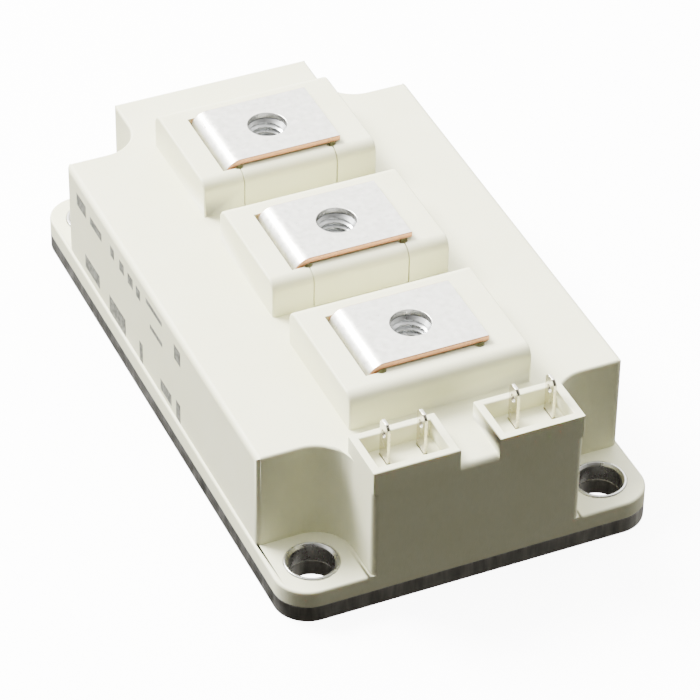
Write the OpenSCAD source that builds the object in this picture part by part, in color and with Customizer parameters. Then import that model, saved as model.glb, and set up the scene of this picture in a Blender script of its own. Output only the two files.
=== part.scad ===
// Half-bridge power transistor module for screwing down on a heat sink.
// Frame: the origin is the centre of the baseplate's underside, +X runs across the module,
// +Y along the row of main terminals towards terminal 1, and +Z up. All sizes are millimetres.

/* [Baseplate] */
// Thickness of the copper baseplate
plate_t = 3; // [2.5:0.1:4]
// Radius of the baseplate's four corners
corner_r = 5.5; // [4:0.1:6]
// Distance between the mounting holes across the module
mount_pitch_x = 48; // [46:0.1:52]
// Distance from a mounting hole to the two edges of the plate beside it
mount_edge = 6.7; // [6:0.1:8]
// Diameter of the mounting holes in the plate and in the bushings
mount_bore_d = 7; // [6.4:0.1:7.2]

/* [Mounting bushings] */
// Outer diameter of a bushing
bushing_od = 8.6; // [8.4:0.1:9.2]
// Height by which a bushing stands above the flange
bushing_proud = 0.2; // [0.1:0.05:0.5]
// Width of the chamfer at a bushing's mouth
bushing_chamfer = 0.4; // [0.2:0.05:0.5]
// Gap all round between a bushing and the flange
bushing_fit = 0.05; // [0.02:0.01:0.2]

/* [Housing body] */
// Step from the edge of the flange to the body's long sides
side_step = 0.4; // [0.2:0.1:1]
// Height of the body's flat top above the baseplate
body_h = 19.9; // [18:0.1:22]
// Distance from a mounting hole to the tongue beside it
screw_room_x = 6.8; // [6.4:0.1:7]
// Distance from a mounting hole to the body behind it
screw_room_y = 6.3; // [6:0.1:6.6]
// Thickness of the flange round the body
flange_t = 2.9; // [2:0.1:4]
// Thickness of the outer walls
wall_t = 2.2; // [1.8:0.1:2.5]
// Thickness of the roof
roof_t = 2.4; // [2:0.1:3]
// Radius of the body's outer edges
edge_r = 1; // [0.5:0.1:1.4]
// Radius of the hollow corner beside each mounting screw
notch_r = 6; // [5:0.1:6.6]
// Thickness of the stiffening ribs under the roof
rib_t = 1.4; // [1:0.1:2]
// Depth of the stiffening ribs under the roof
rib_h = 4; // [2:0.1:6]

/* [Terminal blocks] */
// Distance between neighbouring terminal holes
terminal_pitch = 28; // [27:0.1:28.5]
// Width of a terminal block
block_w = 30; // [28:0.1:32]
// Height of a terminal block above the body's top
block_h = 6.4; // [6:0.1:7.5]
// Distance from a terminal hole to the block's front face
block_front = 10; // [9.4:0.1:11]
// Distance from a terminal hole to the block's back face
block_back = 11.7; // [11:0.1:12.4]
// Extra length at the front of the last block
last_block_extra = 1.4; // [0.6:0.1:2]
// Radius of the blocks' front and back top edges
block_edge_r = 2; // [1:0.1:2.4]
// Wall left round the hollow under a block
core_wall = 1.8; // [1.4:0.1:2]

/* [Nuts and nut carriers] */
// Width across the flats of a terminal nut
nut_af = 10; // [9.6:0.1:10.6]
// Thickness of a terminal nut
nut_t = 5; // [4.4:0.1:5.2]
// Core diameter of the nut's thread
nut_bore_d = 5; // [4.8:0.1:5.4]
// Width of the chamfer at the nut's mouth
nut_chamfer = 0.6; // [0.3:0.1:0.9]
// Gap all round between a nut and its pocket
nut_fit = 0.1; // [0.05:0.05:0.3]
// Height by which a nut stands above its block
nut_proud = 0.1; // [0:0.05:0.15]
// Width of the bay that takes a nut carrier
bay_w = 16.3; // [15.6:0.1:16.6]
// Gap on each side of a nut carrier
carrier_gap = 0.15; // [0.05:0.05:0.3]
// Distance from a terminal hole to the back end of its carrier
carrier_back = 7; // [6.5:0.1:7.3]
// Diameter of the well that takes the end of a terminal screw
well_d = 7.2; // [6.6:0.1:8]
// Depth of that well below the body's top
well_depth = 6; // [3:0.1:7.4]
// Wall round that well
well_wall = 1.4; // [1:0.1:2]
// Diameter of the reliefs at the front corners of the nut seats
relief_d = 1.5; // [1:0.1:1.8]
// Depth of those reliefs
relief_depth = 1.6; // [1:0.1:2.5]

/* [Main terminals] */
// Thickness of the copper strip
strip_t = 1; // [0.8:0.05:1.2]
// Length of a contact face along the module
strip_w = 14.8; // [14.2:0.1:15.2]
// Reach of a contact face from its hole to its free end
strip_reach = 9.7; // [9:0.1:10.6]
// Distance from the hole to the outside of the leg
leg_x = 10.5; // [10.2:0.1:10.7]
// Inner radius of the bend over the block's edge
bend_r = 2; // [1.6:0.1:2.1]
// Gap between a contact face and its block
strip_lift = 0.2; // [0.15:0.05:0.3]
// Diameter of the screw hole in a contact face
terminal_hole_d = 6.4; // [6.2:0.1:6.8]
// Gap between a leg and its slot
slot_gap = 0.3; // [0.15:0.05:0.35]
// Inner radius of the bends in the leg
foot_bend_r = 0.8; // [0.6:0.1:1.2]
// Sideways run of the relief bend in the leg
relief_run = 1.7; // [0.8:0.1:2.4]
// Height of the relief bend above the circuit copper
relief_z = 7; // [6.4:0.1:8]
// Length of a foot's flat
foot_l = 4.4; // [3.6:0.1:5]
// Width of a foot
foot_w = 5; // [4:0.1:5.6]
// Distance of a foot's centre from the middle of its leg
foot_offset = 4.9; // [4.4:0.1:5]
// Margin of copper in front of the feet
foot_margin = 2; // [1:0.1:3]

/* [Signal terminals] */
// Height of the walls round the signal tabs above the body's top
rim_h = 3.1; // [2.6:0.1:5]
// Thickness of those walls
rim_wall = 1.3; // [1:0.1:1.6]
// Length of a signal box along the module
box_l = 9.5; // [9:0.1:10]
// Gap between the last terminal block and the signal boxes
box_spacing = 4.3; // [3:0.1:6]
// Gap between the two signal boxes
box_gap = 6.3; // [5.6:0.1:7]
// Width of a tab
tab_w = 2.8; // [2.4:0.1:3.2]
// Thickness of a tab
tab_t = 0.5; // [0.4:0.1:0.8]
// Height of a tab above the body's top
tab_h = 7; // [6:0.1:8]
// Diameter of the hole in a tab
tab_hole_d = 1.3; // [1:0.1:1.5]
// Distance from a tab's tip to the centre of its hole
tab_hole_drop = 2.2; // [1.8:0.1:2.6]
// Distance between the tabs of a pair
tab_pitch = 6; // [5.4:0.1:6.2]
// Distance by which the left pair of tabs lies right of its box's middle
left_tab_shift = 0.4; // [0:0.05:0.6]
// Distance by which the right pair of tabs lies right of its box's middle
right_tab_shift = 1.1; // [0:0.05:1.2]
// Distance of the tabs from the middle of their box towards the blocks
tab_back = 1.25; // [0:0.05:1.4]
// Gap between a tab and its slot
tab_gap = 0.1; // [0.05:0.05:0.2]
// Depth of the guide under the roof that holds a tab
guide_h = 3; // [2:0.1:4]
// Wall of that guide
guide_wall = 1; // [0.8:0.1:1.2]
// Length of a tab below its guide
tab_tail = 2; // [1.4:0.1:3]
// Diameter of an inner signal lead
lead_d = 1.1; // [0.8:0.1:1.2]
// Distance between neighbouring signal leads
lead_pitch = 1.5; // [1.3:0.1:1.8]

/* [Substrates and chips] */
// Gap between a ceramic substrate and the housing's long walls
ceramic_side_gap = 5.1; // [3:0.1:5.5]
// Gap between a ceramic substrate and the housing's end wall
ceramic_end_gap = 1; // [0.6:0.1:1.4]
// Gap between the two ceramic substrates
ceramic_mid_gap = 2; // [1:0.1:3]
// Thickness of the ceramic
ceramic_t = 0.4; // [0.25:0.05:1]
// Thickness of the copper under the ceramic
base_copper_t = 0.3; // [0.2:0.05:0.5]
// Thickness of the circuit copper on the ceramic
circuit_t = 0.3; // [0.2:0.05:0.5]
// Margin of bare ceramic round the copper
copper_margin = 0.8; // [0.5:0.1:0.8]
// Gap between neighbouring copper areas
copper_gap = 1; // [0.6:0.1:1.2]
// Width of the two narrow signal tracks
track_w = 1.8; // [1.6:0.1:2]
// Width of the copper area that takes the ends of the bond wires
emitter_l = 7; // [6:0.1:8]
// Side of a square transistor chip
igbt_side = 10.5; // [9:0.1:11]
// Side of a square diode chip
diode_side = 8; // [7:0.1:9]
// Thickness of the chips with their solder
chip_t = 0.2; // [0.15:0.05:0.4]
// Gap between neighbouring chips
chip_spacing = 1.5; // [1:0.1:2]
// Margin of copper beside the two columns of chips
chip_margin = 0.75; // [0.4:0.05:1]
// Diameter of a bond wire
bond_d = 0.4; // [0.3:0.05:0.5]
// Height of a bond wire's arch
bond_rise = 2; // [1.5:0.1:2.6]
// Distance between neighbouring bond wires
bond_pitch = 1.8; // [1.4:0.1:2]
// Distance from the edge of the copper area to the ends of the bond wires
bond_inset = 2; // [1.4:0.1:3]

/* [Adhesive] */
// Width of the adhesive bead under the housing wall
bead_w = 1; // [0.6:0.1:1.1]
// Height of the adhesive bead
bead_h = 0.6; // [0.3:0.1:1]
// Gap between the bead and its groove
bead_gap = 0.1; // [0.05:0.05:0.15]

/* [Hidden] */
$fn = 48;
over = 1;                                     // how far a cut runs past the face it opens
root = 1;                                     // how deep a raised form roots in what carries it
plate_w = mount_pitch_x + 2 * mount_edge;
plate_l = 2 * (terminal_pitch + block_front + last_block_extra + box_spacing + box_l);
mount_x = plate_w / 2 - mount_edge;           // place of the mounting holes
mount_y = plate_l / 2 - mount_edge;
body_w = plate_w - 2 * side_step;
body_l = 2 * (mount_y - screw_room_y);        // length between the walls behind the screws
tongue_w = 2 * (mount_x - screw_room_x);      // width of the tongues that reach both ends
flange_top = plate_t + flange_t;
body_top = plate_t + body_h;
roof_z = body_top - roof_t;
block_top = body_top + block_h;
strip_z = block_top + strip_lift;             // underside of the contact faces
terminal_top = strip_z + strip_t;
terminal_y = [terminal_pitch, 0, -terminal_pitch];
carrier_w = bay_w - 2 * carrier_gap;
nut_z = block_top + nut_proud - nut_t;        // face that the nuts stand on
nut_corner_d = nut_af / cos(30);
relief_y = -strip_w / 2;                      // the reliefs lie under the contact face's front edge
leg_in_x = leg_x - strip_t;
bend_x = leg_x - strip_t - bend_r;            // distance from the hole to the bend's axis
bend_z = strip_z - bend_r;
ceramic_z = plate_t + base_copper_t;
circuit_z = ceramic_z + ceramic_t;
chip_z = circuit_z + circuit_t;
bond_r = bond_d / 2;
knee_z = chip_z + relief_z;                   // axis height of the leg's upper relief bend
foot_r = foot_bend_r + strip_t;
drop_x = leg_x + foot_bend_r + relief_run + foot_r;   // outside of the leg below the relief
box_w = (tongue_w - box_gap) / 2;
box_x = (box_gap + box_w) / 2;
tab_y = (box_l - plate_l) / 2 + tab_back;
tab_x = [for (pair = [left_tab_shift - box_x, right_tab_shift + box_x], side = [-1, 1])
    pair + side * tab_pitch / 2];
tab_bottom = roof_z - guide_h - tab_tail;
ceramic_w = body_w - 2 * (wall_t + ceramic_side_gap);
ceramic_l = body_l / 2 - wall_t - ceramic_end_gap - ceramic_mid_gap / 2;
ceramic_y = (ceramic_mid_gap + ceramic_l) / 2;        // distance from the module's middle
copper_x = ceramic_w / 2 - copper_margin;     // outer edge of the copper across the module
copper_v = ceramic_l / 2 - copper_margin;     // outer edge of the copper along the module
collector_x = copper_x - 2 * (track_w + copper_gap);  // right edge of the chips' copper area
emitter_v = emitter_l - copper_v;             // inner edge of the copper that the wires end on
collector_v = emitter_v + copper_gap;         // edge of the chips' copper area beside it
landing_x = collector_x - 2 * (igbt_side + chip_margin) - chip_spacing;   // its left edge
landing_v = terminal_pitch - foot_offset - foot_w / 2 - foot_margin - ceramic_y;
lane_x = (landing_x + collector_x) / 2;       // the lane between the two columns of chips
chip_x = [for (side = [-1, 1]) lane_x + side * (igbt_side + chip_spacing) / 2];
chips_l = igbt_side + chip_spacing + diode_side;
chips_v = (copper_v + collector_v - chips_l) / 2;     // inner edge of the transistor chips
igbt_v = chips_v + igbt_side / 2;
diode_v = chips_v + chips_l - diode_side / 2;
chip_places = [for (half = [1, -1], x = chip_x) [x, half]];
wires_per_chip = 4;
link_wires = 3;

// ---- outlines -------------------------------------------------------------------------

// Rectangle with round corners, about the origin
module rounded_rect(w, l, r) {
    square([w - 2 * r, l], center = true);
    square([w, l - 2 * r], center = true);
    for (sx = [-1, 1], sy = [-1, 1])
        translate([sx * (w / 2 - r), sy * (l / 2 - r)]) circle(r = r);
}

// The body seen from above, drawn in by inset: a wide middle, a tongue to each end,
// and a hollow round corner beside each mounting screw
module body_plan(inset = 0) {
    hw = body_w / 2 - inset;
    hl = body_l / 2 - inset;
    tw = tongue_w / 2 - inset;
    tl = plate_l / 2 - inset;
    r = notch_r + inset;
    corner = max(edge_r - inset, 0.3);
    rounded_rect(2 * hw, 2 * hl, corner);
    rounded_rect(2 * tw, 2 * tl, corner);
    for (sx = [-1, 1], sy = [-1, 1]) scale([sx, sy]) difference() {
        translate([tw - root, hl - root]) square(r + root);
        translate([tw + r, hl + r]) circle(r = r);
        translate([tw + r, hl - 2 * root]) square(r);
        translate([tw - 2 * root, hl + r]) square(r);
    }
}

// Side view of a form with round top edges, standing on height 0
module round_topped(from, to, h, r) {
    translate([from, 0]) square([to - from, h - r]);
    translate([from + r, 0]) square([to - from - 2 * r, h]);
    translate([from + r, h - r]) circle(r = r);
    translate([to - r, h - r]) circle(r = r);
}

// Turns a side view drawn in (Y, Z) into a solid of width w about X = 0
module across(w) {
    rotate([90, 0, 90]) linear_extrude(w, center = true) children();
}

// Turns an end view drawn in (X, Z) into a solid of length l about Y = 0
module along(l) {
    rotate([90, 0, 0]) linear_extrude(l, center = true) children();
}

// Quarter of a ring in the quadrant that the signs qx and qy name
module quarter_ring(r_in, t, qx, qy) {
    r_out = r_in + t;
    intersection() {
        difference() {
            circle(r = r_out);
            circle(r = r_in);
        }
        translate([min(qx, 0) * r_out, min(qy, 0) * r_out]) square(r_out);
    }
}

// Places children at all four mounting holes
module at_mounts() {
    for (sx = [-1, 1], sy = [-1, 1])
        translate([sx * mount_x, sy * mount_y, 0]) children();
}

// ---- baseplate, bushings and adhesive ---------------------------------------------------

module baseplate() {
    color("dimgray") difference() {
        linear_extrude(plate_t) rounded_rect(plate_w, plate_l, corner_r);
        at_mounts() translate([0, 0, -over])
            cylinder(h = plate_t + 2 * over, d = mount_bore_d);
    }
}

// A turned ring in the flange that carries the screw's clamping force
module mounting_bushing(i) {
    sx = i % 2 == 1 ? -1 : 1;
    sy = i > 2 ? 1 : -1;
    r_in = mount_bore_d / 2;
    r_out = bushing_od / 2;
    h = flange_t + bushing_proud;
    lip = (r_out - r_in - bushing_chamfer) / 2;
    color("silver") translate([sx * mount_x, sy * mount_y, plate_t])
        rotate_extrude() polygon([
            [r_in, 0], [r_out, 0], [r_out, h - lip], [r_out - lip, h],
            [r_in + bushing_chamfer, h], [r_in, h - bushing_chamfer]]);
}

// Flat ring that follows the wall, from one inset to another
module wall_ring(from, to, h) {
    linear_extrude(h) difference() {
        body_plan(from);
        body_plan(to);
    }
}

module adhesive_bead() {
    from = (wall_t - bead_w) / 2;
    color("whitesmoke") translate([0, 0, plate_t]) wall_ring(from, from + bead_w, bead_h);
}

// ---- housing ------------------------------------------------------------------------------

function block_reach(i) = block_front + (i == 3 ? last_block_extra : 0);

// A raised block that carries one main terminal
module terminal_block(i) {
    translate([0, terminal_y[i - 1], body_top - root])
        across(block_w) round_topped(-block_reach(i), block_back, block_h + root, block_edge_r);
}

// Walls of one signal box; side is -1 or 1
module signal_box(side) {
    translate([side * box_x, -plate_l / 2 + box_l / 2, body_top - root]) linear_extrude(rim_h + root)
        difference() {
            square([box_w, box_l], center = true);
            square([box_w - 2 * rim_wall, box_l - 2 * rim_wall], center = true);
        }
}

// Everything that shows from outside, before it is hollowed
module housing_skin() {
    translate([0, 0, plate_t]) linear_extrude(flange_t) rounded_rect(plate_w, plate_l, corner_r);
    intersection() {
        translate([0, 0, plate_t]) linear_extrude(body_h) body_plan();
        along(plate_l + 2 * over) round_topped(-body_w / 2, body_w / 2, body_top, edge_r);
        across(plate_w + 2 * over) round_topped(-plate_l / 2, plate_l / 2, body_top, edge_r);
    }
    for (i = [1:3]) terminal_block(i);
    for (side = [-1, 1]) signal_box(side);
}

// The room for substrates, chips and legs, open towards the baseplate
module housing_room() {
    translate([0, 0, plate_t - over]) linear_extrude(roof_z - plate_t + over) body_plan(wall_t);
    // hollow under the free side of each block
    core_x = max(bay_w / 2, strip_reach) + core_wall;
    for (y = terminal_y)
        translate([core_x, y - block_front + core_wall, roof_z - over])
            cube([block_w / 2 - core_wall - core_x, block_front + block_back - 2 * core_wall,
                  block_top - core_wall - roof_z + over]);
}

// Ribs, screw wells and tab guides that hang from the roof
module housing_inside() {
    for (side = [-1, 1])
        translate([-body_w / 2 + wall_t / 2, side * terminal_pitch / 2 - rib_t / 2, roof_z - rib_h])
            cube([body_w - wall_t, rib_t, rib_h + root]);
    for (y = terminal_y)
        translate([0, y, body_top - well_depth - well_wall])
            cylinder(h = well_depth + well_wall - root, d = well_d + 2 * well_wall);
    for (x = tab_x)
        translate([x, tab_y, roof_z - guide_h / 2 + root / 2])
            cube([tab_t + 2 * (tab_gap + guide_wall), tab_w + 2 * (tab_gap + guide_wall),
                  guide_h + root], center = true);
}

// Slot for a terminal's leg, seen from the front, with a mouth that follows the bend
module leg_slot_profile() {
    low = roof_z - over;
    translate([-leg_x - slot_gap, low])
        square([strip_t + 2 * slot_gap, bend_z - low]);
    difference() {
        translate([-leg_x - slot_gap, bend_z - 0.01])
            square([leg_x - bend_x + slot_gap, block_top - bend_z + over]);
        translate([-bend_x, bend_z]) circle(r = bend_r - slot_gap);
    }
}

// Reliefs at the front corners of a nut seat
module seat_reliefs() {
    for (side = [-1, 1])
        translate([side * (bay_w / 2 - carrier_gap / 2), relief_y, block_top - relief_depth])
            cylinder(h = relief_depth + over, d = relief_d);
}

// Hexagonal pocket for a nut with the screw's way below it
module nut_pocket(way_bottom) {
    translate([0, 0, nut_z])
        cylinder(h = nut_t + over, d = nut_corner_d + 2 * nut_fit / cos(30), $fn = 6);
    translate([0, 0, way_bottom]) cylinder(h = nut_z - way_bottom + over, d = well_d);
}

module housing() {
    color("ivory") difference() {
        union() {
            difference() {
                housing_skin();
                housing_room();
            }
            housing_inside();
        }
        // mounting holes that take the bushings
        at_mounts() translate([0, 0, plate_t - over])
            cylinder(h = flange_t + 2 * over, d = bushing_od + 2 * bushing_fit);
        // groove for the adhesive
        translate([0, 0, plate_t - over])
            wall_ring((wall_t - bead_w) / 2 - bead_gap, (wall_t + bead_w) / 2 + bead_gap,
                      bead_h + bead_gap + over);
        // slots for the legs, and seats for the nuts
        for (i = [1:3]) translate([0, terminal_y[i - 1], 0]) {
            along(strip_w + 2 * slot_gap) leg_slot_profile();
            seat_reliefs();
            if (i == 3) {
                nut_pocket(body_top - well_depth);
            } else {
                translate([-bay_w / 2, -block_reach(i) - over, body_top])
                    cube([bay_w, block_reach(i) + over + carrier_back + carrier_gap,
                          block_h + over]);
                translate([0, 0, body_top - well_depth]) cylinder(h = well_depth + over, d = well_d);
            }
        }
        // slots for the signal tabs
        for (x = tab_x)
            translate([x, tab_y, (tab_bottom + body_top) / 2])
                cube([tab_t + 2 * tab_gap, tab_w + 2 * tab_gap, body_top - tab_bottom + 2 * over],
                     center = true);
    }
}

// ---- nuts and their carriers -----------------------------------------------------------------

// Plastic slide with a hexagonal pocket that completes the front of block i
module nut_carrier(i) {
    color("ivory") translate([0, terminal_y[i - 1], 0]) difference() {
        intersection() {
            translate([0, 0, body_top]) across(carrier_w)
                round_topped(-block_reach(i), block_back, block_h, block_edge_r);
            translate([-carrier_w / 2, -block_reach(i), body_top])
                cube([carrier_w, block_reach(i) + carrier_back, block_h]);
        }
        nut_pocket(body_top - over);
        seat_reliefs();
    }
}

module terminal_nut(i) {
    mouth_r = nut_bore_d / 2 + nut_chamfer;
    color("darkgray") translate([0, terminal_y[i - 1], nut_z]) difference() {
        cylinder(h = nut_t, d = nut_corner_d, $fn = 6);
        translate([0, 0, -over]) cylinder(h = nut_t + 2 * over, d = nut_bore_d);
        translate([0, 0, nut_t - nut_chamfer])
            cylinder(h = 2 * nut_chamfer, r1 = mouth_r - nut_chamfer, r2 = mouth_r + nut_chamfer);
    }
}

// ---- main terminals --------------------------------------------------------------------------

// The strip seen from the front: contact face, bend over the block, leg, relief bend and foot
module strip_profile() {
    translate([-bend_x, strip_z]) square([bend_x + strip_reach, strip_t]);
    translate([-bend_x, bend_z]) quarter_ring(bend_r, strip_t, -1, 1);
    translate([-leg_x, knee_z]) square([strip_t, bend_z - knee_z]);
    translate([-leg_x - foot_bend_r, knee_z]) quarter_ring(foot_bend_r, strip_t, 1, -1);
    translate([-leg_x - foot_bend_r - relief_run, knee_z - foot_r]) square([relief_run, strip_t]);
    translate([-drop_x + foot_r, knee_z - foot_r - foot_bend_r])
        quarter_ring(foot_bend_r, strip_t, -1, 1);
    translate([-drop_x, chip_z + foot_r])
        square([strip_t, knee_z - 2 * foot_r - foot_bend_r + strip_t - chip_z]);
    translate([-drop_x - foot_bend_r, chip_z + foot_r]) quarter_ring(foot_bend_r, strip_t, 1, -1);
    translate([-drop_x - foot_bend_r - foot_l, chip_z]) square([foot_l, strip_t]);
}

// Feet of each terminal: the middle one reaches only the substrate that it feeds
function feet(i) = i == 2 ? [1] : [-1, 1];

module main_terminal(i) {
    fork_z = knee_z + foot_w;
    color("gainsboro") translate([0, terminal_y[i - 1], 0]) difference() {
        intersection() {
            along(strip_w) strip_profile();
            union() {
                translate([-drop_x - foot_bend_r - foot_l - over, -strip_w / 2, fork_z])
                    cube([3 * drop_x, strip_w, terminal_top]);
                for (side = feet(i))
                    translate([-drop_x - foot_bend_r - foot_l - over,
                               side * foot_offset - foot_w / 2, 0])
                        cube([3 * drop_x, foot_w, fork_z + over]);
            }
        }
        translate([0, 0, strip_z - over]) cylinder(h = strip_t + 2 * over, d = terminal_hole_d);
    }
}

// ---- signal terminals ------------------------------------------------------------------------

// Flat blade with a bevelled tip and a round hole
module signal_tab(i) {
    top = body_top + tab_h;
    tip = tab_w / 4;
    color("tan") translate([tab_x[i - 1], tab_y, 0]) difference() {
        across(tab_t) polygon([
            [-tab_w / 2, tab_bottom], [tab_w / 2, tab_bottom], [tab_w / 2, top - tip],
            [tab_w / 2 - tip, top], [tip - tab_w / 2, top], [-tab_w / 2, top - tip]]);
        translate([-tab_t, 0, top - tab_hole_drop]) rotate([0, 90, 0])
            cylinder(h = 2 * tab_t, d = tab_hole_d);
    }
}

function unit(v) = v / norm(v);

// A route with each of its corners eased into a curve that starts reach away from it
function eased(p, reach, steps) = [
    p[0],
    for (k = [1:len(p) - 2])
        let (a = p[k] + reach * unit(p[k - 1] - p[k]), b = p[k] + reach * unit(p[k + 1] - p[k]))
        for (s = [0:steps])
            let (u = s / steps) pow(1 - u, 2) * a + 2 * u * (1 - u) * p[k] + u * u * b,
    p[len(p) - 1]];

// Direction of a route at its point k
function heading(p, k) = unit(p[min(k + 1, len(p) - 1)] - p[max(k - 1, 0)]);

// Round wire swept along a route, its cross-section carried on from ring to ring
module wire(corners, d, sides = 8) {
    p = eased(corners, d, 3);
    n = len(p);
    first = [1, 0, 0];
    aside = [for (k = 0, v = first; k < n;
                  k = k + 1, v = k < n ? unit(v - (v * heading(p, k)) * heading(p, k)) : v) v];
    rings = [for (k = [0:n - 1]) for (j = [0:sides - 1])
        let (t = heading(p, k), angle = 360 * j / sides)
        p[k] + d / 2 * (cos(angle) * aside[k] + sin(angle) * cross(t, aside[k]))];
    walls = [for (k = [0:n - 2], j = [0:sides - 1])
        let (a = k * sides + j, b = k * sides + (j + 1) % sides)
        each [[a, a + sides, b], [b, a + sides, b + sides]]];
    polyhedron(rings, concat(walls,
        [[for (j = [0:sides - 1]) j], [for (j = [0:sides - 1]) n * sides - 1 - j]]));
}

// Leads 1 and 2 serve the near substrate, and leads 3 and 4 pass it to reach the far one
module signal_lead(i) {
    track_x = copper_x - track_w / 2 - (i % 2) * (track_w + copper_gap);
    start = [tab_x[i - 1], tab_y, tab_bottom];
    high = chip_z + (i + 1) * lead_pitch;
    side_x = (ceramic_w / 2 + body_w / 2 - wall_t) / 2;
    near = -ceramic_y - copper_v + lead_pitch;
    far = ceramic_y - copper_v + lead_pitch;
    door_y = -body_l / 2 + i * lead_pitch;
    color("firebrick") wire(
        i < 3
        ? [start, [start.x, start.y, high], [start.x, door_y, high], [track_x, near, high],
           [track_x, near, chip_z]]
        : [start, [start.x, start.y, high], [start.x, door_y, high], [side_x, near, high],
           [side_x, far - 3 * lead_pitch, high], [track_x, far, high], [track_x, far, chip_z]],
        lead_d);
}

// ---- substrates, chips and bond wires ---------------------------------------------------------

// Moves children to a substrate; v then runs from its centre towards the module's end
module on_substrate(i, z) {
    mirror([0, i == 2 ? 1 : 0, 0]) translate([0, ceramic_y, z]) children();
}

module ceramic(i) {
    color("white") on_substrate(i, ceramic_z)
        linear_extrude(ceramic_t) square([ceramic_w, ceramic_l], center = true);
}

module base_copper(i) {
    color("peru") on_substrate(i, plate_t) linear_extrude(base_copper_t)
        square([2 * copper_x, 2 * copper_v], center = true);
}

// Four copper areas: under the chips, under the wires' ends, and two signal tracks
module circuit_copper(i) {
    color("peru") on_substrate(i, circuit_z) linear_extrude(circuit_t) {
        translate([landing_x, collector_v])
            square([collector_x - landing_x, copper_v - collector_v]);
        translate([-copper_x, landing_v])
            square([copper_x + landing_x + root, copper_v - landing_v]);
        translate([-copper_x, -copper_v])
            square([copper_x + collector_x, emitter_v + copper_v]);
        translate([-copper_x, -copper_v])
            square([copper_x + landing_x - copper_gap, copper_v + landing_v - copper_gap]);
        for (k = [0, 1])
            translate([copper_x - track_w - k * (track_w + copper_gap), -copper_v])
                square([track_w, 2 * copper_v]);
    }
}

module chip(place, v, side) {
    on_substrate(place[1] > 0 ? 1 : 2, chip_z)
        translate([place[0] - side / 2, v - side / 2, 0]) cube([side, side, chip_t]);
}

module igbt_chip(i) {
    color("slategray") chip(chip_places[i - 1], igbt_v, igbt_side);
}

module diode_chip(i) {
    color("lightslategray") chip(chip_places[i - 1], diode_v, diode_side);
}

// Bond wire along v between seats at heights z1 and z2: an arch with a flattened weld at each end
module bond_wire(v1, z1, v2, z2, rise, d) {
    weld_l = 3 * d;
    weld_w = 1.5 * d;
    span = v2 - v1;
    z = max(z1, z2);
    arch_r = (span * span / 4 + rise * rise) / (2 * rise);
    half = asin(span / 2 / arch_r);
    translate([0, (v1 + v2) / 2, z + d / 2 + rise - arch_r]) rotate([90, 0, 90])
        rotate([0, 0, 90 - half])
            rotate_extrude(angle = 2 * half) translate([arch_r, 0]) circle(d = d, $fn = 16);
    for (weld = [[v1, z1], [v2, z2]])
        translate([-weld_w / 2, weld[0] - weld_l / 2, weld[1]])
            cube([weld_w, weld_l, z + d - weld[1]]);
}

// Wires from the diode over the transistor to the emitter copper, beside each other
module bond_wires(i) {
    chip_top = chip_z + chip_t;
    color("lightgray") on_substrate(i, 0)
        for (x = chip_x, k = [0:wires_per_chip - 1])
            translate([x + (k - (wires_per_chip - 1) / 2) * bond_pitch, 0, 0]) {
                bond_wire(igbt_v + igbt_side / 4, chip_top, diode_v, chip_top, bond_rise, bond_d);
                bond_wire(emitter_v - bond_inset, chip_z, igbt_v - igbt_side / 4, chip_top,
                          bond_rise, bond_d);
            }
}

// Wires that join the emitter copper of substrate 2 to the chip copper of substrate 1,
// in the lane between the two columns of chips
module phase_link_wires() {
    near = -(ceramic_y + emitter_v - bond_inset);
    far = ceramic_y + collector_v + 2 * bond_d;
    color("lightgray") for (k = [0:link_wires - 1])
        translate([lane_x + (k - (link_wires - 1) / 2) * bond_pitch, 0, 0])
            bond_wire(near, chip_z, far, chip_z, 1.5 * bond_rise, bond_d);
}

// ---- the module ---------------------------------------------------------------------------------

baseplate();
housing();
adhesive_bead();
for (i = [1:4]) mounting_bushing(i);
for (i = [1:2]) nut_carrier(i);
for (i = [1:3]) terminal_nut(i);
for (i = [1:3]) main_terminal(i);
for (i = [1:4]) signal_tab(i);
for (i = [1:4]) signal_lead(i);
for (i = [1:2]) base_copper(i);
for (i = [1:2]) ceramic(i);
for (i = [1:2]) circuit_copper(i);
for (i = [1:4]) igbt_chip(i);
for (i = [1:4]) diode_chip(i);
for (i = [1:2]) bond_wires(i);
phase_link_wires();
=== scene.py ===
"""Looks of a half-bridge power module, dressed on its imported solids. Lengths are in metres where
no comment says millimetres."""
import math

import bmesh
import bpy
import numpy as np
from mathutils import Matrix, Vector


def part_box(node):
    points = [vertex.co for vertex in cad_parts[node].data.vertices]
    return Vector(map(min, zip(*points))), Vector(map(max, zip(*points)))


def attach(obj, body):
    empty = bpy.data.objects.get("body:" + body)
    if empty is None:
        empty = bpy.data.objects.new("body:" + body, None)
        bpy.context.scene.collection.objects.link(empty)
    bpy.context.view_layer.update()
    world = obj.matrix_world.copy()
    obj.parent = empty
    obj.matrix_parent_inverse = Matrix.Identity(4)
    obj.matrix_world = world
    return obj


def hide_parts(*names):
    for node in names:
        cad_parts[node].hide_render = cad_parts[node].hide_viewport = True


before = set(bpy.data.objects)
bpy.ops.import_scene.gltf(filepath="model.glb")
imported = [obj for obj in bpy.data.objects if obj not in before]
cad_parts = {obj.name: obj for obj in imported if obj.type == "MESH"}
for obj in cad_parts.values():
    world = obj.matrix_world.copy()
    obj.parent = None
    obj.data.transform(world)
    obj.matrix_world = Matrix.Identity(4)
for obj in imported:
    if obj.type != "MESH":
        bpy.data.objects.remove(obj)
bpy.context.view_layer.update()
mm = 0.001

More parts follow.
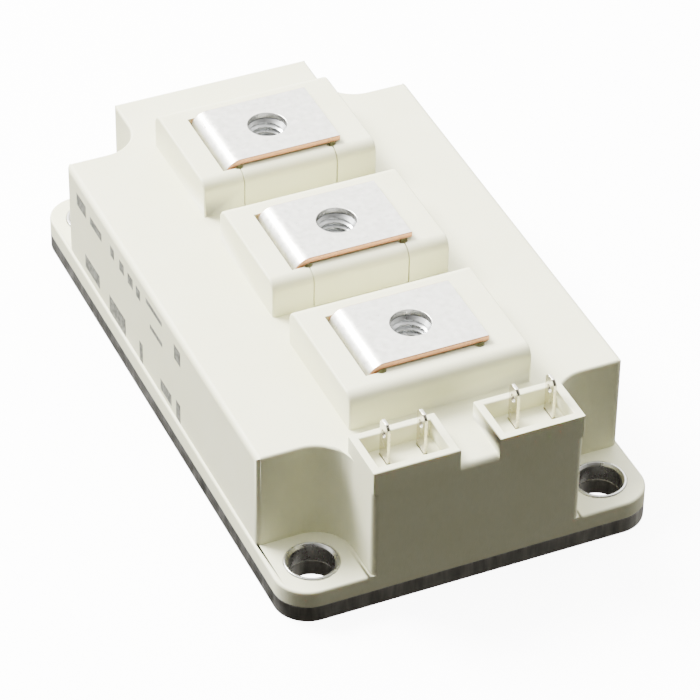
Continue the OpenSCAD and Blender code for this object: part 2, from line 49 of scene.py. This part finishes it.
# ---- Camera -----------------------------------------------------------------------------
# A long lens looks down on the module from beyond its left near corner, so that the row of
# terminals runs away to the upper left and the signal tabs come to the front.
azimuth, elevation, roll = (math.radians(angle) for angle in (-24.30, 38.80, 0.92))
back = Vector((math.sin(azimuth) * math.cos(elevation), -math.cos(azimuth) * math.cos(elevation),
               math.sin(elevation)))
level = Vector((math.cos(azimuth), math.sin(azimuth), 0))
right = math.cos(roll) * level + math.sin(roll) * back.cross(level)
up = back.cross(right)
middle = Vector((0, 0, 12 * mm))
distance, shift_right, shift_up = 593.2 * mm, 2.35 * mm, -5.90 * mm
lens = bpy.data.cameras.new("camera")
lens.lens = 191.5
lens.sensor_width = 36
lens.clip_start = 0.01
camera = bpy.data.objects.new("camera", lens)
camera.matrix_world = Matrix((right, up, back)).transposed().to_4x4()
camera.location = middle + distance * back + shift_right * right + shift_up * up
bpy.context.scene.collection.objects.link(camera)
bpy.context.scene.camera = camera

# ---- Studio -----------------------------------------------------------------------------
# The module lies on a pale light table. A soft box stands behind it on its left, a bright sky
# hangs over its far end, and a weak glow comes from its right. The near side of the room is
# dark, so the tops are white and the near faces lie in deep shade.
def mesh_piece(name, points, faces, smooth=False):
    """A mesh object from an array of points and an array of faces with equal numbers of corners."""
    mesh = bpy.data.meshes.new(name)
    mesh.from_pydata(np.asarray(points, float).tolist(), [], np.asarray(faces).tolist())
    mesh.polygons.foreach_set("use_smooth", np.full(len(mesh.polygons), smooth))
    mesh.update()
    piece = bpy.data.objects.new(name, mesh)
    bpy.context.scene.collection.objects.link(piece)
    return piece


class Finish:
    """A material in the making: nodes in Object coordinates that end in one Principled shader."""

    def __init__(self, name, colour, roughness, metallic=0.0):
        self.material = bpy.data.materials.new(name)
        self.material.use_nodes = True
        self.tree = self.material.node_tree
        self.shader = self.tree.nodes["Principled BSDF"]
        self.place = self.tree.nodes.new("ShaderNodeTexCoord").outputs["Object"]
        self.shader.inputs["Base Color"].default_value = (*colour, 1)
        self.shader.inputs["Roughness"].default_value = roughness
        self.shader.inputs["Metallic"].default_value = metallic

    def node(self, kind, values, **settings):
        """A node whose inputs are numbers, colours or other nodes' outputs; returns the node."""
        node = self.tree.nodes.new("ShaderNode" + kind)
        for key, value in settings.items():
            setattr(node, key, value)
        for key, value in values.items():
            if isinstance(value, bpy.types.NodeSocket):
                self.tree.links.new(value, node.inputs[key])
            else:
                node.inputs[key].default_value = value
        return node

    def noise(self, size, detail=2.0, stretch=(1, 1, 1)):
        """Cloudy noise whose patches are about size across, longer along an axis with stretch < 1."""
        spot = self.node("Mapping", {"Vector": self.place, "Scale": stretch}).outputs[0]
        return self.node("TexNoise", {"Vector": spot, "Scale": 1 / size, "Detail": detail}).outputs[0]

    def fit(self, value, low, high, start=0.3, end=0.7):
        """value from start to end brought to the range low to high."""
        return self.node("MapRange", {"Value": value, "From Min": start, "From Max": end,
                                      "To Min": low, "To Max": high}).outputs[0]

    def blend(self, factor, first, second):
        """first where factor is 0 and second where it is 1; both are colours."""
        node = self.node("Mix", {0: factor}, data_type="RGBA")
        for index, colour in ((6, first), (7, second)):
            if isinstance(colour, bpy.types.NodeSocket):
                self.tree.links.new(colour, node.inputs[index])
            else:
                node.inputs[index].default_value = (*colour, 1)
        return node.outputs[2]

    def set(self, key, value):
        """Gives the shader's input a number or another node's output."""
        if isinstance(value, bpy.types.NodeSocket):
            self.tree.links.new(value, self.shader.inputs[key])
        else:
            self.shader.inputs[key].default_value = value

    def bump(self, *layers):
        """Bumps laid over each other; each layer is a height from 0 to 1 and its depth in metres."""
        normal = None
        for height, depth in layers:
            values = {"Height": height, "Distance": depth}
            if normal is not None:
                values["Normal"] = normal
            normal = self.node("Bump", values).outputs[0]
        self.set("Normal", normal)


def area_light(name, place, size, power, colour):
    """A square soft box of that size at place, facing the module."""
    lamp = bpy.data.lights.new(name, "AREA")
    lamp.shape = "SQUARE"
    lamp.size = size
    lamp.energy = power
    lamp.color = colour
    light = bpy.data.objects.new(name, lamp)
    light.location = place
    light.rotation_euler = (Vector(place) - middle).to_track_quat("Z", "Y").to_euler()
    bpy.context.scene.collection.objects.link(light)


floor_half = 4.0
floor = mesh_piece("floor", floor_half * np.array([(-1, -1, 0), (1, -1, 0), (1, 1, 0), (-1, 1, 0)]),
                   [(0, 1, 2, 3)])
table = Finish("light_table", (0.80, 0.80, 0.79), 0.9)
table.set("Base Color", table.blend(table.noise(0.2), (0.79, 0.79, 0.78), (0.81, 0.81, 0.80)))
table.set("Emission Color", (1.0, 1.0, 1.0, 1))
table.set("Emission Strength", 9.0)
floor.data.materials.append(table.material)
floor.visible_diffuse = False
floor.visible_glossy = False
area_light("main_light", (-0.44, 0.64, 0.86), 0.5, 66, (1.0, 0.995, 0.98))

world = bpy.data.worlds.new("studio")
world.use_nodes = True
room = world.node_tree
direction = room.nodes.new("ShaderNodeTexCoord").outputs["Generated"]


def glow(toward, dusk, full, dark, bright):
    """A colour of the room that depends on the cosine between a direction and toward: dark up to
    dusk, bright from full on, and a smooth step between them."""
    cosine = room.nodes.new("ShaderNodeVectorMath")
    cosine.operation = "DOT_PRODUCT"
    room.links.new(direction, cosine.inputs[0])
    cosine.inputs[1].default_value = Vector(toward).normalized()
    share = room.nodes.new("ShaderNodeMapRange")
    share.interpolation_type = "SMOOTHSTEP"
    room.links.new(cosine.outputs["Value"], share.inputs[0])
    share.inputs[1].default_value = dusk
    share.inputs[2].default_value = full
    colour = room.nodes.new("ShaderNodeMix")
    colour.data_type = "RGBA"
    room.links.new(share.outputs[0], colour.inputs[0])
    colour.inputs[6].default_value = (*dark, 1)
    colour.inputs[7].default_value = (*bright, 1)
    return colour.outputs[2]


sky = glow((0.10, 0.75, 0.65), 0.05, 0.85, (0.060, 0.056, 0.048), (4.8, 4.8, 4.7))
right_side = glow((1.0, 0.0, 0.1), 0.2, 1.0, (0, 0, 0), (0.55, 0.54, 0.50))
both = room.nodes.new("ShaderNodeMix")
both.data_type = "RGBA"
both.blend_type = "ADD"
both.inputs[0].default_value = 1
room.links.new(sky, both.inputs[6])
room.links.new(right_side, both.inputs[7])
room.links.new(both.outputs[2], room.nodes["Background"].inputs[0])
bpy.context.scene.world = world

# ---- Housing ----------------------------------------------------------------------------
# One moulding in ivory glass-filled plastic. The mould's face was spark eroded, so the skin
# has a fine even grain, and every edge that a mould can't make sharp is slightly round.
def edge_turns(mesh):
    """Each edge's middle, the angle in degrees between its two faces, and whether it is hollow:
    it is where the second face's centre lies in front of the first face."""
    edges, loops, polygons = len(mesh.edges), len(mesh.loops), len(mesh.polygons)
    points = np.empty(len(mesh.vertices) * 3)
    mesh.vertices.foreach_get("co", points)
    ends = np.empty(edges * 2, int)
    mesh.edges.foreach_get("vertices", ends)
    middles = points.reshape(-1, 3)[ends.reshape(-1, 2)].mean(1)
    edge_of_loop = np.empty(loops, int)
    mesh.loops.foreach_get("edge_index", edge_of_loop)
    corners = np.empty(polygons, int)
    mesh.polygons.foreach_get("loop_total", corners)
    normals = np.empty(polygons * 3)
    mesh.polygons.foreach_get("normal", normals)
    centres = np.empty(polygons * 3)
    mesh.polygons.foreach_get("center", centres)
    face_of_loop = np.repeat(np.arange(polygons), corners)
    pairs = face_of_loop[np.argsort(edge_of_loop, kind="stable")].reshape(-1, 2)
    normals = normals.reshape(-1, 3)[pairs]
    centres = centres.reshape(-1, 3)[pairs]
    cosines = np.clip((normals[:, 0] * normals[:, 1]).sum(1), -1, 1)
    hollow = (normals[:, 0] * (centres[:, 1] - middles)).sum(1) > 0
    return middles, np.degrees(np.arccos(cosines)), hollow


def dress(piece, finish):
    """Gives a piece one material all over."""
    piece.data.materials.clear()
    piece.data.materials.append(finish.material)


def stand_for(piece, finish, *nodes):
    """A finished piece is dressed, rides on the body and stands for its CAD nodes, which are hidden."""
    dress(piece, finish)
    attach(piece, "root")
    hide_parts(*nodes)
    return piece


# Corners nearer than merge_gap are merged, faces that turn less than flat_turn are joined, and
# edges that turn more than sharp_turn degrees are sharp. A sharp edge whose share of the radius
# is under least_share isn't rounded and keeps its crease.
merge_gap = 0.002 * mm
flat_turn = math.radians(0.5)
sharp_turn = 35
least_share = 0.01


def soft_edged(node, name, finish, radius, weights=None, cuts=()):
    """A copy of a CAD node with its doubles merged and its flat triangles joined, whose sharp
    edges are rounded by a Bevel. weights gives each edge's share of the radius from the edges'
    middles in millimetres and whether they are hollow; without it they all get the radius. cuts
    are places along X where edges are split, so that a rounding can end there."""
    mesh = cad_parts[node].data.copy()
    mesh.name = name
    clean = bmesh.new()
    clean.from_mesh(mesh)
    bmesh.ops.remove_doubles(clean, verts=clean.verts, dist=merge_gap)
    bmesh.ops.dissolve_limit(clean, angle_limit=flat_turn, verts=clean.verts, edges=clean.edges)
    for place in cuts:
        bmesh.ops.bisect_plane(clean, geom=clean.verts[:] + clean.edges[:] + clean.faces[:],
                               plane_co=(place, 0, 0), plane_no=(1, 0, 0))
    clean.to_mesh(mesh)
    clean.free()
    middles, turns, hollow = edge_turns(mesh)
    sharp = turns > sharp_turn
    share = sharp * (1.0 if weights is None else weights(middles / mm, hollow))
    mesh.attributes.new("bevel_weight_edge", "FLOAT", "EDGE").data.foreach_set("value", share)
    mesh.attributes.new("sharp_edge", "BOOLEAN", "EDGE").data.foreach_set(
        "value", sharp & (share < least_share))
    mesh.polygons.foreach_set("use_smooth", np.ones(len(mesh.polygons), bool))
    piece = bpy.data.objects.new(name, mesh)
    bpy.context.scene.collection.objects.link(piece)
    bevel = piece.modifiers.new("edges", "BEVEL")
    bevel.limit_method = "WEIGHT"
    bevel.width = radius
    bevel.segments = 3
    bevel.use_clamp_overlap = False
    bevel.miter_outer = "MITER_ARC"
    piece.modifiers.new("shading", "WEIGHTED_NORMAL").keep_sharp = True
    return stand_for(piece, finish, node)


plastic = Finish("ivory_plastic", (0.76, 0.75, 0.54), 0.45)
plastic.set("Base Color", plastic.blend(
    plastic.fit(plastic.noise(9 * mm, 3), 0, 1), (0.750, 0.745, 0.520), (0.775, 0.770, 0.560)))
plastic.set("Roughness", plastic.fit(plastic.noise(3 * mm, 4), 0.42, 0.54))
plastic.bump((plastic.noise(0.22 * mm, 3), 0.006 * mm), (plastic.noise(6 * mm), 0.03 * mm))
plastic.set("Subsurface Weight", 0.12)
plastic.set("Subsurface Radius", (1.0, 0.8, 0.5))
plastic.set("Subsurface Scale", 0.8 * mm)

# Heights and places on the housing, in millimetres. It is alike on both sides, so places across
# it count from its middle line. past_tongue lies just outside the tongues at both ends, and near
# is how close an edge has to be to a height or a place.
near = 0.05
bushing_proud, rim_rise = 0.2, 3.1
flange_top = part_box("mounting_bushing_1")[1].z / mm - bushing_proud
body_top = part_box("nut_carrier_1")[0].z / mm
rim_top = body_top + rim_rise
bore_x, bore_y, bore_reach = 24, 46.5, 5
block_half, tongue_half, box_inner_side = 15.0, 17.2, 3.15
past_tongue, foot_end = 18, 45
flange_side, flange_end = 30.5, 47.6
fade_end, fade_run = -44.5, 2
box_back, box_foot = -43, 23


def housing_edges(middles, hollow):
    """Shares for the housing: the flange's and the body's outer edges are the roundest, blocks
    and box rims come next, and feet get a small fillet. Seats and slots stay sharp. The body's
    top edge fades out before it meets the boxes."""
    across, y, z = np.abs(middles[:, 0]), middles[:, 1], middles[:, 2]
    on_flange = np.abs(z - flange_top) < near
    on_body = np.abs(z - body_top) < near
    on_rim = np.abs(z - rim_top) < near
    off_tongue = across > past_tongue
    at_bore = np.hypot(across - bore_x, np.abs(y) - bore_y) < bore_reach
    outside = (across > flange_side) | (np.abs(y) > flange_end)
    share = np.zeros(len(z))
    share[on_flange & ~hollow & off_tongue & outside] = 0.9
    share[on_flange & ~hollow & at_bore] = 0.25
    share[on_flange & hollow & ~at_bore & off_tongue & (np.abs(y) < foot_end)] = 0.7
    body_rim = on_body & ~hollow & (across > tongue_half - near)
    share[body_rim] = np.clip((y[body_rim] - fade_end) / fade_run, 0, 1)
    share[~hollow & (np.abs(across - block_half) < near) & (z > body_top + near)] = 0.8
    share[on_rim & ~hollow & (y < box_back)] = 0.45
    box_sides = ~hollow & (z > box_foot) & (z < rim_top - 2 * near) & (y < box_back)
    at_corner = (np.abs(across - tongue_half) < 2 * near) | (np.abs(across - box_inner_side) < 2 * near)
    share[box_sides & at_corner] = 0.45
    return share


soft_edged("housing", "moulded_housing", plastic, 0.5 * mm, housing_edges,
           cuts=(-past_tongue * mm, past_tongue * mm))
for index in (1, 2):
    soft_edged(f"nut_carrier_{index}", f"nut_slide_{index}", plastic, 0.15 * mm)

# ---- Printed marks ----------------------------------------------------------------------
# Plain grey bars stand in for the two lines of print on the long left side. The ink is worn
# thin in places, so the ivory shows through.
def bars(name, wall_x, marks, thickness):
    """Flat blocks on a wall that faces -X. Each mark gives, in millimetres, a middle along Y, a
    middle height, a length and a tallness: corners are the middle plus or minus half of each
    size. The blocks are sunk in the wall by as much as they stand proud."""
    marks = np.asarray(marks) * mm
    corners = np.array([(x, y, z) for x in (-1, 1) for y in (-1, 1) for z in (-1, 1)]) / 2
    middles = np.column_stack([np.full(len(marks), wall_x), marks[:, :2]])
    sizes = np.column_stack([np.full(len(marks), 2 * thickness), marks[:, 2:]])
    points = middles[:, None] + corners * sizes[:, None]
    sides = np.array([(0, 1, 3, 2), (4, 6, 7, 5), (0, 4, 5, 1), (2, 3, 7, 6), (0, 2, 6, 4),
                      (1, 5, 7, 3)])
    faces = sides + 8 * np.arange(len(marks))[:, None, None]
    return mesh_piece(name, points.reshape(-1, 3), faces.reshape(-1, 4))


ink = Finish("worn_ink", (0.30, 0.30, 0.28), 0.55)
ink.set("Base Color", ink.blend(ink.fit(ink.noise(0.7 * mm, 4), 0, 1, 0.35, 0.65),
                                (0.09, 0.09, 0.08), (0.26, 0.26, 0.22)))
ink.set("Roughness", ink.fit(ink.noise(1 * mm), 0.45, 0.65))
ink.bump((ink.noise(0.22 * mm, 3), 0.005 * mm))
side_wall, film = -30.3 * mm, 0.015 * mm
upper_line = [(33.6, 19.0, 4.2, 2.4), (27.0, 18.8, 5.2, 1.6), (19.6, 19.2, 1.6, 2.0),
              (15.4, 19.2, 2.0, 2.0), (11.6, 19.2, 2.2, 2.0), (8.2, 19.2, 1.8, 2.0),
              (1.4, 20.4, 6.8, 0.9), (0.6, 16.3, 5.2, 0.9), (-8.4, 19.0, 2.6, 2.8)]
lower_line = [(29.3, 8.6, 6.6, 2.6), (18.0, 7.6, 7.2, 3.6), (7.5, 7.6, 1.4, 4.4),
              (-3.2, 7.8, 4.6, 2.2), (-8.4, 7.8, 1.8, 3.6)]
print_marks = bars("print_bars", side_wall, upper_line + lower_line, film)
dress(print_marks, ink)
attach(print_marks, "root")

# ---- Baseplate and adhesive -------------------------------------------------------------
# The copper plate is nickel plated. Its edge was sheared, so it is streaked from top to
# bottom, and its flat underside was ground. A bead of white silicone seals the housing to it.
nickel_plate = Finish("plated_baseplate", (0.40, 0.395, 0.38), 0.38, 1.0)
nickel_plate.set("Base Color", nickel_plate.blend(
    nickel_plate.fit(nickel_plate.noise(1.2 * mm, 4, (1, 1, 0.15)), 0, 1),
    (0.30, 0.295, 0.28), (0.52, 0.51, 0.48)))
nickel_plate.set("Roughness", nickel_plate.fit(nickel_plate.noise(2 * mm, 3), 0.30, 0.50))
nickel_plate.bump((nickel_plate.noise(0.35 * mm, 3, (1, 1, 0.08)), 0.02 * mm),
                  (nickel_plate.noise(0.10 * mm, 2, (1, 0.02, 1)), 0.002 * mm))
soft_edged("baseplate", "base_plate", nickel_plate, 0.25 * mm)


def dress_nodes(finish, *names):
    """Gives the material to CAD nodes that stay as they are."""
    for name in names:
        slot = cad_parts[name].material_slots[0]
        slot.link = "OBJECT"
        slot.material = finish.material


silicone = Finish("white_silicone", (0.82, 0.82, 0.80), 0.35)
silicone.set("Base Color", silicone.blend(silicone.noise(1 * mm),
                                          (0.80, 0.80, 0.78), (0.85, 0.85, 0.83)))
silicone.set("Roughness", silicone.fit(silicone.noise(0.6 * mm), 0.28, 0.45))
silicone.bump((silicone.noise(0.8 * mm), 0.03 * mm))
dress_nodes(silicone, "adhesive_bead")

# ---- Mounting bushings ------------------------------------------------------------------
# Four turned steel rings. The tool left fine rings on the face and the bore, and the mouth is
# chamfered, which shows as a bright line round the dark bore.
def eased(corners, radius, steps=4):
    """A closed outline with its corners eased. A corner becomes a curve that starts and ends at
    radius from it: (1 - t) squared of the start, 2 t (1 - t) of the corner, t squared of the end."""
    corners = np.asarray(corners, float)
    before, after = np.roll(corners, 1, 0) - corners, np.roll(corners, -1, 0) - corners
    start = corners + radius * before / np.linalg.norm(before, axis=1, keepdims=True)
    end = corners + radius * after / np.linalg.norm(after, axis=1, keepdims=True)
    t = np.linspace(0, 1, steps + 1)[None, :, None]
    start, middle_point, end = start[:, None], corners[:, None], end[:, None]
    curve = (1 - t) ** 2 * start + 2 * t * (1 - t) * middle_point + t ** 2 * end
    return curve.reshape(-1, corners.shape[1])


def closed_skin(name, radius, height, columns, centre, smooth):
    """A closed skin round an upright axis. radius and height have a row for each ring and one or
    more columns: x is the centre's plus radius times cos, y the same with sin, z is height."""
    angle = np.linspace(0, 2 * math.pi, columns, endpoint=False)
    radius, height, angle = np.broadcast_arrays(radius, height, angle)
    points = np.stack([centre[0] + radius * np.cos(angle), centre[1] + radius * np.sin(angle),
                       height], -1)
    index = np.arange(radius.size).reshape(radius.shape)
    beyond = np.roll(index, -1, 0)
    quads = np.stack([index, np.roll(index, -1, 1), np.roll(beyond, -1, 1), beyond], -1)
    piece = mesh_piece(name, points.reshape(-1, 3), quads.reshape(-1, 4), smooth)
    if smooth:
        piece.modifiers.new("shading", "WEIGHTED_NORMAL")
    return piece


def folded(finish, spot):
    """Coordinates measured from the nearest of four points, at plus or minus spot."""
    ahead = finish.node("VectorMath", {0: finish.place}, operation="ABSOLUTE").outputs[0]
    return finish.node("VectorMath", {0: ahead, 1: (*spot, 0)}, operation="SUBTRACT").outputs[0]


turned = Finish("turned_steel", (0.60, 0.60, 0.58), 0.30, 1.0)
rings = turned.node("TexWave", {"Vector": folded(turned, (bore_x * mm, bore_y * mm)),
                                "Scale": 1.6 / mm, "Distortion": 0.4},
                    wave_type="RINGS", rings_direction="Z").outputs[1]
turned.set("Base Color", turned.blend(turned.noise(0.8 * mm),
                                      (0.54, 0.54, 0.52), (0.64, 0.64, 0.62)))
turned.set("Roughness", turned.fit(turned.noise(1 * mm), 0.24, 0.36))
turned.bump((rings, 0.004 * mm), (turned.noise(0.12 * mm, 3), 0.002 * mm))
bore, chamfer, lip, easing = 3.5 * mm, 0.4 * mm, 0.15 * mm, 0.05 * mm
ring_columns = 96
for index in range(1, 5):
    low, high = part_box(f"mounting_bushing_{index}")
    outside = (high.x - low.x) / 2
    outline = eased([(bore, low.z), (outside, low.z), (outside, high.z - lip),
                     (outside - lip, high.z), (bore + chamfer, high.z), (bore, high.z - chamfer)],
                    easing)
    ring = closed_skin(f"turned_bushing_{index}", outline[:, :1], outline[:, 1:], ring_columns,
                       (low + high) / 2, True)
    stand_for(ring, turned, f"mounting_bushing_{index}")

# ---- Terminal nuts ----------------------------------------------------------------------
# Three hexagon nuts of zinc-plated steel with a real thread, M6 with a pitch of 1 mm. Each lies
# in a hexagon seat under its terminal, and its thread shows through the terminal's hole.
core_radius, thread_pitch = 2.5 * mm, 1 * mm


def threaded_nut(name, centre, flats, core, pitch, low, high):
    """A hexagon nut in one skin. The bore's radius is the core's plus a clipped saw of height
    over pitch less the turn, and no less than a cone at each mouth. The flats lie at half their
    width over the cosine of the angle from the nearest flat, cut off by a cone at each face."""
    columns, rows = 120, 81
    thread_depth, flare = 0.54 * pitch, 0.7 * pitch
    turn = np.arange(columns)[None, :] / columns
    depth = np.linspace(high, low, rows)[:, None]
    saw = np.abs(((depth - low) / pitch - turn) % 1 * 2 - 1)
    thread = core + thread_depth * np.clip(1.3 * saw - 0.15, 0, 1)
    mouth = core + flare - np.minimum(high - depth, depth - low)
    angle = 2 * math.pi * turn
    side = flats / 2 / np.cos(angle % (math.pi / 3) - math.pi / 6)
    collar = np.full((1, columns), 0.475 * flats)
    drop = 0.5 * (side - collar)
    level_ring = 0 * drop
    radius = np.concatenate([np.maximum(thread, mouth), collar, side, side, collar])
    height = np.concatenate([depth + level_ring, low + level_ring, low + drop, high - drop,
                             high + level_ring])
    return closed_skin(name, radius, height, columns, centre, False)


zinc = Finish("zinc_plated_steel", (0.62, 0.63, 0.64), 0.32, 1.0)
zinc.set("Base Color", zinc.blend(zinc.noise(0.9 * mm, 3), (0.52, 0.53, 0.53), (0.70, 0.71, 0.72)))
zinc.set("Roughness", zinc.fit(zinc.noise(0.7 * mm, 3), 0.26, 0.42))
zinc.bump((zinc.noise(0.12 * mm, 3), 0.003 * mm))
for index in (1, 2, 3):
    low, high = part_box(f"terminal_nut_{index}")
    nut = threaded_nut(f"threaded_nut_{index}", (low + high) / 2, high.y - low.y, core_radius,
                       thread_pitch, low.z, high.z)
    stand_for(nut, zinc, f"terminal_nut_{index}")

# ---- Main terminals ---------------------------------------------------------------------
# Strips of rolled copper, nickel plated before they were cut, so the bare metal shows along
# their long cut edges. The rolls left fine lines along the strip.
strip = Finish("nickel_on_copper", (0.74, 0.73, 0.69), 0.32, 1.0)
# Half the way from one terminal to the next, and how far in from a cut edge the plating is
# whole and the copper is bare.
half_pitch, plating_whole, copper_bare = 14 * mm, 0.16 * mm, 0.08 * mm
along_row = strip.node("SeparateXYZ", {0: strip.place}).outputs[1]
from_hole = strip.node("Math", {0: along_row, 1: half_pitch, 2: -half_pitch},
                       operation="WRAP").outputs[0]
away = strip.node("Math", {0: from_hole}, operation="ABSOLUTE").outputs[0]
low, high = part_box("main_terminal_1")
strip_half = (high.y - low.y) / 2
cut = strip.fit(away, 0, 1, strip_half - plating_whole, strip_half - copper_bare)
nickel = strip.blend(strip.fit(strip.noise(1.1 * mm, 4), 0, 1),
                     (0.66, 0.65, 0.61), (0.80, 0.79, 0.75))
strip.set("Base Color", strip.blend(cut, nickel, (0.64, 0.34, 0.20)))
strip.set("Roughness", strip.fit(strip.noise(0.8 * mm, 4), 0.26, 0.42))
strip.bump((strip.noise(0.18 * mm, 3, (0.05, 1, 1)), 0.003 * mm),
           (strip.noise(0.5 * mm, 3), 0.008 * mm))
for index in (1, 2, 3):
    soft_edged(f"main_terminal_{index}", f"plated_strip_{index}", strip, 0.14 * mm)

# ---- Signal tabs and leads --------------------------------------------------------------
# Bright tin-plated blades with a pierced hole and clipped tips, held in guides of the housing.
# Inside, leads in red insulation run from their tails to the circuit.
tin = Finish("tinned_brass", (0.66, 0.63, 0.54), 0.22, 1.0)
tin.set("Base Color", tin.blend(tin.noise(1.5 * mm, 3), (0.60, 0.57, 0.48), (0.72, 0.69, 0.61)))
tin.set("Roughness", tin.fit(tin.noise(0.8 * mm, 3), 0.16, 0.32))
tin.bump((tin.noise(0.2 * mm, 3, (1, 1, 0.1)), 0.002 * mm))
lead = Finish("red_insulation", (0.55, 0.06, 0.04), 0.4)
lead.set("Base Color", lead.blend(lead.noise(2 * mm), (0.50, 0.05, 0.035), (0.60, 0.08, 0.05)))
lead.set("Roughness", lead.fit(lead.noise(0.6 * mm), 0.32, 0.50))
lead.bump((lead.noise(0.3 * mm), 0.01 * mm))
for index in range(1, 5):
    soft_edged(f"signal_tab_{index}", f"tinned_tab_{index}", tin, 0.08 * mm)
    dress_nodes(lead, f"signal_lead_{index}")

# ---- Substrates and chips ---------------------------------------------------------------
# Alumina tiles with bonded copper on both faces carry the silicon. The copper is matt from the
# furnace, and the chips' metallised tops have the fine stripes of their cells.
copper = Finish("bonded_copper", (0.70, 0.40, 0.26), 0.42, 1.0)
copper.set("Base Color", copper.blend(copper.noise(2 * mm, 4), (0.62, 0.33, 0.20), (0.78, 0.46, 0.31)))
copper.set("Roughness", copper.fit(copper.noise(1 * mm, 3), 0.35, 0.55))
copper.bump((copper.noise(0.15 * mm, 3), 0.004 * mm))
alumina = Finish("alumina", (0.88, 0.88, 0.86), 0.5)
alumina.set("Base Color", alumina.blend(alumina.noise(1 * mm, 3), (0.86, 0.86, 0.84), (0.91, 0.91, 0.89)))
alumina.set("Roughness", alumina.fit(alumina.noise(0.4 * mm), 0.42, 0.60))
alumina.bump((alumina.noise(0.08 * mm, 2), 0.002 * mm))
silicon = Finish("metallised_silicon", (0.40, 0.42, 0.46), 0.28, 0.8)
cells = silicon.node("TexWave", {"Vector": silicon.place, "Scale": 0.8 / mm},
                     bands_direction="Y").outputs[1]
silicon.set("Base Color", silicon.blend(cells, (0.30, 0.32, 0.36), (0.55, 0.56, 0.58)))
silicon.set("Roughness", silicon.fit(silicon.noise(1 * mm), 0.20, 0.34))
silicon.bump((cells, 0.003 * mm))
dress_nodes(copper, "base_copper_1", "base_copper_2", "circuit_copper_1", "circuit_copper_2")
dress_nodes(alumina, "ceramic_1", "ceramic_2")
for kind in ("igbt", "diode"):
    dress_nodes(silicon, *(f"{kind}_chip_{index}" for index in range(1, 5)))

# ---- Bond wires -------------------------------------------------------------------------
# Bright drawn aluminium wires, welded between the chips and the copper, and from one substrate
# to the other. The die left faint lines along them.
wire = Finish("drawn_aluminium", (0.86, 0.87, 0.88), 0.25, 1.0)
wire.set("Base Color", wire.blend(wire.noise(1 * mm), (0.82, 0.83, 0.84), (0.90, 0.91, 0.92)))
wire.set("Roughness", wire.fit(wire.noise(0.5 * mm), 0.20, 0.34))
wire.bump((wire.noise(0.1 * mm, 2, (1, 0.05, 1)), 0.002 * mm))
dress_nodes(wire, "bond_wires_1", "bond_wires_2", "phase_link_wires")
